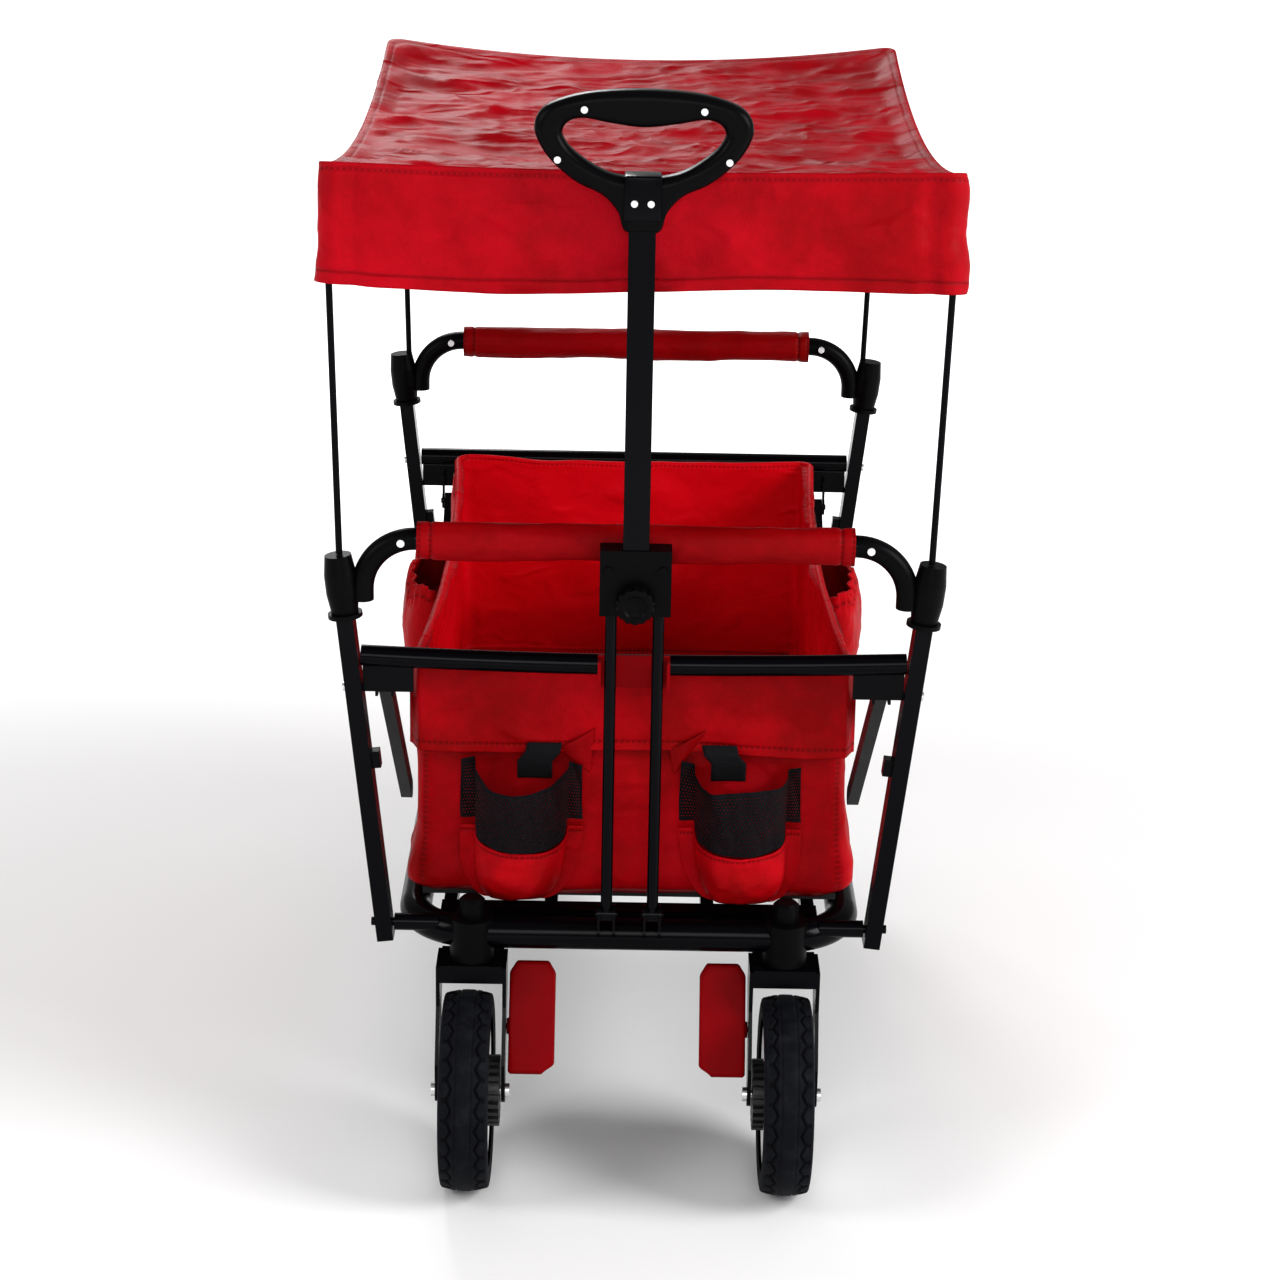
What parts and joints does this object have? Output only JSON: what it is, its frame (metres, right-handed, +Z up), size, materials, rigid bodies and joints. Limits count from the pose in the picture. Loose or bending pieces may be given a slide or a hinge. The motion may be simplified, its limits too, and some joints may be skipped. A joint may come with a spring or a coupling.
{
  "type": "wagon with pull handle",
  "caption": "Folding pull wagon: fabric tub on a low tube ring, two tall push frames with padded grips, canopy on thin rods, telescopic handle and swivel casters.",
  "frame": {"origin": "on the ground under the middle of the wagon, midway between the front and rear wheels' outer edges", "axes": "+Z up, -Y towards the pull handle (front), +X to the right seen from the front"},
  "size_m": [0.5546, 1.02, 1.023],
  "materials": {
    "frame_paint": "gloss black powder coat",
    "black_plastic": "black moulded plastic",
    "rod_black": "thin black coated spring-steel rod",
    "red_fabric": "red woven polyester, wrinkled",
    "black_mesh": "open black mesh over a red pouch",
    "red_plastic": "red moulded plastic",
    "wheel_plastic": "white wheel rim with black brake disc",
    "tyre_rubber": "dark foam rubber tread",
    "zinc_steel": "zinc plated rivets and bolts",
    "board": "stiff black floor board"
  },
  "bodies": {
    "base": {"ring_front_bow": "frame_paint", "ring_rear_bow": "frame_paint", "ring_side_rails": "frame_paint", "box_bars": "frame_paint", "floor_rails": "frame_paint", "floor_boards": "board", "tub_floor": "red_fabric", "tub_walls": "red_fabric", "side_pockets": "red_fabric", "cup_holder_left": "black_mesh", "cup_holder_right": "black_mesh", "caster_housings": "black_plastic", "stem_caps": "black_plastic", "rear_wheel_forks": "frame_paint", "rear_axles": "zinc_steel", "handle_hinges": "frame_paint"},
    "front_frame": {"front_posts": "frame_paint", "front_cross_bar": "frame_paint", "front_brackets": "frame_paint", "front_grip_bar": "frame_paint", "front_grip_sleeve": "red_fabric", "front_elbows": "black_plastic", "front_knobs": "black_plastic", "front_canopy_rods": "rod_black", "front_rivets": "zinc_steel", "rod_clip": "red_plastic"},
    "rear_frame": {"rear_posts": "frame_paint", "rear_cross_bar": "frame_paint", "rear_brackets": "frame_paint", "rear_grip_bar": "frame_paint", "rear_grip_sleeve": "red_fabric", "rear_elbows": "black_plastic", "rear_knobs": "black_plastic", "rear_canopy_rods": "rod_black", "rear_rivets": "zinc_steel"},
    "front_brace_pair": {"front_braces": "frame_paint"},
    "rear_brace_pair": {"rear_braces": "frame_paint"},
    "canopy": {"canopy_top": "red_fabric", "canopy_valances": "red_fabric"},
    "handle_yoke": {"handle_rods": "frame_paint", "yoke_plate": "black_plastic"},
    "handle_pole": {"handle_pole": "frame_paint", "handle_grip": "black_plastic", "grip_screws": "zinc_steel"},
    "handle_knob": {"handle_knob": "black_plastic"},
    "caster_left": {"caster_fork_left": "frame_paint", "caster_axle_left": "zinc_steel"},
    "caster_right": {"caster_fork_right": "frame_paint", "caster_axle_right": "zinc_steel"},
    "front_wheel_left": {"front_rim_left": "wheel_plastic", "front_tyre_left": "tyre_rubber"},
    "front_wheel_right": {"front_rim_right": "wheel_plastic", "front_tyre_right": "tyre_rubber"},
    "brake_left": {"brake_pedal_left": "red_plastic"},
    "brake_right": {"brake_pedal_right": "red_plastic"},
    "rear_wheel_left": {"rear_rim_left": "wheel_plastic", "rear_tyre_left": "tyre_rubber"},
    "rear_wheel_right": {"rear_rim_right": "wheel_plastic", "rear_tyre_right": "tyre_rubber"}
  },
  "joints": [
    {"name": "front_fold", "type": "hinge", "parent": "base", "child": "front_frame", "pos_m": [0, -0.381, 0.247], "axis": [-1, 0, 0], "range_deg": [0, 75], "deforming": ["tub_walls", "side_pockets", "canopy_top", "canopy_valances", "cup_holder_left", "cup_holder_right"]},
    {"name": "rear_fold", "type": "hinge", "parent": "base", "child": "rear_frame", "pos_m": [0, 0.381, 0.247], "axis": [1, 0, 0], "range_deg": [0, 75]},
    {"name": "front_brace_swing", "type": "hinge", "parent": "front_frame", "child": "front_brace_pair", "pos_m": [0, -0.367, 0.477], "axis": [1, 0, 0], "range_deg": [0, 112.5]},
    {"name": "rear_brace_swing", "type": "hinge", "parent": "rear_frame", "child": "rear_brace_pair", "pos_m": [0, 0.367, 0.434], "axis": [-1, 0, 0], "range_deg": [0, 112.5]},
    {"name": "canopy_lift", "type": "slide", "parent": "base", "child": "canopy", "axis": [0, 0, 1], "range_m": [0, 0.15]},
    {"name": "handle_tilt", "type": "hinge", "parent": "base", "child": "handle_yoke", "pos_m": [0, -0.412, 0.272], "axis": [1, 0, 0], "range_deg": [0, 85]},
    {"name": "handle_telescope", "type": "slide", "parent": "handle_yoke", "child": "handle_pole", "axis": [0, 0, -1], "range_m": [0, 0.26]},
    {"name": "knob_turn", "type": "hinge", "parent": "handle_yoke", "child": "handle_knob", "pos_m": [0, -0.425, 0.577], "axis": [0, -1, 0], "range_deg": [0, 180]},
    {"name": "caster_swivel_left", "type": "hinge", "parent": "base", "child": "caster_left", "pos_m": [-0.145, -0.385, 0.23], "axis": [0, 0, 1], "continuous": true},
    {"name": "front_wheel_spin_left", "type": "hinge", "parent": "caster_left", "child": "front_wheel_left", "pos_m": [-0.145, -0.417, 0.093], "axis": [1, 0, 0], "continuous": true},
    {"name": "rear_wheel_spin_left", "type": "hinge", "parent": "base", "child": "rear_wheel_left", "pos_m": [-0.145, 0.417, 0.093], "axis": [1, 0, 0], "continuous": true},
    {"name": "brake_press_left", "type": "hinge", "parent": "caster_left", "child": "brake_left", "pos_m": [-0.12, -0.398, 0.15], "axis": [1, 0, 0], "range_deg": [0, 12]},
    {"name": "caster_swivel_right", "type": "hinge", "parent": "base", "child": "caster_right", "pos_m": [0.145, -0.385, 0.23], "axis": [0, 0, 1], "continuous": true},
    {"name": "front_wheel_spin_right", "type": "hinge", "parent": "caster_right", "child": "front_wheel_right", "pos_m": [0.145, -0.417, 0.093], "axis": [1, 0, 0], "continuous": true},
    {"name": "rear_wheel_spin_right", "type": "hinge", "parent": "base", "child": "rear_wheel_right", "pos_m": [0.145, 0.417, 0.093], "axis": [1, 0, 0], "continuous": true},
    {"name": "brake_press_right", "type": "hinge", "parent": "caster_right", "child": "brake_right", "pos_m": [0.12, -0.398, 0.15], "axis": [1, 0, 0], "range_deg": [0, 12]}
  ],
  "couplings": [
    {"joint": "rear_fold", "follows": "front_fold", "ratio": 1},
    {"joint": "front_brace_swing", "follows": "front_fold", "ratio": 1.5},
    {"joint": "rear_brace_swing", "follows": "front_fold", "ratio": 1.5}
  ]
}
